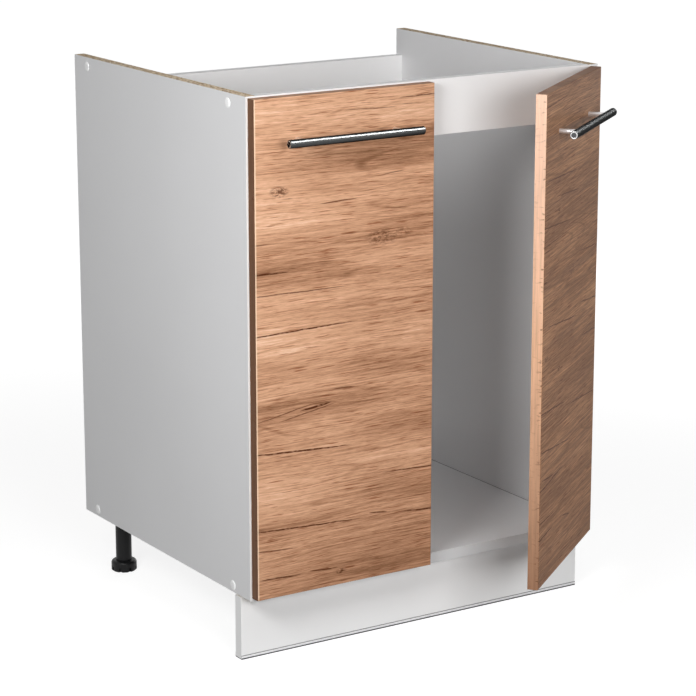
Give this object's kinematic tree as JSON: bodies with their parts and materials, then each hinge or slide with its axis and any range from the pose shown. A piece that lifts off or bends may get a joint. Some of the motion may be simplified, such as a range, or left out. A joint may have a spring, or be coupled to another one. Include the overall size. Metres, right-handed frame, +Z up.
{
  "type": "sink base cabinet",
  "caption": "Sink base cabinet: an open-topped, backless white carcass on adjustable legs, with oak-look doors on cup hinges, bar handles and a clip-on plinth.",
  "frame": {"origin": "on the floor, under the middle of the whole cabinet's box as stored, with the right door ajar", "axes": "+X to the right as seen from the front, +Y to the rear, +Z up"},
  "size_m": [0.6032, 0.7078, 0.817],
  "materials": {
    "white_board": "white melamine-faced chipboard, satin, raw chip core on the cut top edges",
    "white_band": "white edge band, satin",
    "oak_board": "warm rustic oak decor with the grain running across, matt",
    "oak_band": "oak decor edge band, matt",
    "beech": "plain beech",
    "handle_metal": "polished steel look",
    "zinc": "bright zinc plate",
    "nickel": "nickel plate",
    "cast_zinc": "dull die-cast zinc",
    "black_plastic": "moulded black plastic",
    "white_plastic": "moulded white plastic, glossy",
    "seal_plastic": "pale flexible sealing strip"
  },
  "bodies": {
    "carcass": {"bottom_panel": "white_board", "cam_bolts": "zinc", "carcass_edge_bands": "white_band", "dowels": "beech", "front_rail": "white_board", "hinge_arm_pins_left": "nickel", "hinge_arm_pins_right": "nickel", "hinge_arm_screws_left": "nickel", "hinge_arm_screws_right": "nickel", "hinge_arms_left": "nickel", "hinge_arms_right": "nickel", "hinge_plate_screws_left": "nickel", "hinge_plate_screws_right": "nickel", "hinge_plates_left": "nickel", "hinge_plates_right": "nickel", "joint_screws": "zinc", "leg_columns": "black_plastic", "leg_flanges": "black_plastic", "leg_screws": "zinc", "rail_cams": "cast_zinc", "rear_rail": "white_board", "screw_caps": "white_plastic", "side_panel_left": "white_board", "side_panel_right": "white_board"},
    "door_left": {"door_left": "oak_board", "door_edge_bands_left": "oak_band", "handle_bar_left": "handle_metal", "handle_posts_left": "handle_metal", "handle_screws_left": "zinc", "hinge_cups_left": "nickel", "hinge_cup_screws_left": "nickel"},
    "hinge_links_left": {"hinge_links_left": "nickel", "hinge_link_pins_left": "nickel"},
    "foot_front_left": {"foot_front_left": "black_plastic"},
    "foot_rear_left": {"foot_rear_left": "black_plastic"},
    "door_right": {"door_right": "oak_board", "door_edge_bands_right": "oak_band", "handle_bar_right": "handle_metal", "handle_posts_right": "handle_metal", "handle_screws_right": "zinc", "hinge_cups_right": "nickel", "hinge_cup_screws_right": "nickel"},
    "hinge_links_right": {"hinge_links_right": "nickel", "hinge_link_pins_right": "nickel"},
    "foot_front_right": {"foot_front_right": "black_plastic"},
    "foot_rear_right": {"foot_rear_right": "black_plastic"},
    "plinth": {"plinth_board": "white_board", "plinth_seal": "seal_plastic", "plinth_clips": "black_plastic", "clip_screws": "zinc"}
  },
  "joints": [
    {"name": "door_left_swing", "type": "hinge", "parent": "carcass", "child": "door_left", "pos_m": [-0.2907, -0.17413, 0.097], "axis": [0, 0, -1], "range_deg": [0, 105]},
    {"name": "hinge_links_left_turn", "type": "hinge", "parent": "carcass", "child": "hinge_links_left", "pos_m": [-0.2638, -0.16163, 0.097], "axis": [0, 0, -1], "range_deg": [-50.9, 0.5]},
    {"name": "foot_front_left_screw", "type": "slide", "parent": "carcass", "child": "foot_front_left", "axis": [0, 0, -1], "range_m": [0, 0.02]},
    {"name": "foot_rear_left_screw", "type": "slide", "parent": "carcass", "child": "foot_rear_left", "axis": [0, 0, -1], "range_m": [0, 0.02]},
    {"name": "door_right_swing", "type": "hinge", "parent": "carcass", "child": "door_right", "pos_m": [0.2907, -0.17413, 0.097], "axis": [0, 0, 1], "range_deg": [-37.6, 67.4]},
    {"name": "hinge_links_right_turn", "type": "hinge", "parent": "carcass", "child": "hinge_links_right", "pos_m": [0.2638, -0.16163, 0.097], "axis": [0, 0, 1], "range_deg": [-32.85, 18.55]},
    {"name": "foot_front_right_screw", "type": "slide", "parent": "carcass", "child": "foot_front_right", "axis": [0, 0, -1], "range_m": [0, 0.02]},
    {"name": "foot_rear_right_screw", "type": "slide", "parent": "carcass", "child": "foot_rear_right", "axis": [0, 0, -1], "range_m": [0, 0.02]},
    {"name": "plinth_pull_off", "type": "slide", "parent": "carcass", "child": "plinth", "axis": [0, -1, 0], "range_m": [0, 0.08]}
  ],
  "couplings": [
    {"joint": "hinge_links_left_turn", "follows": "door_left_swing", "ratio": -0.48},
    {"joint": "hinge_links_right_turn", "follows": "door_right_swing", "ratio": -0.48}
  ]
}
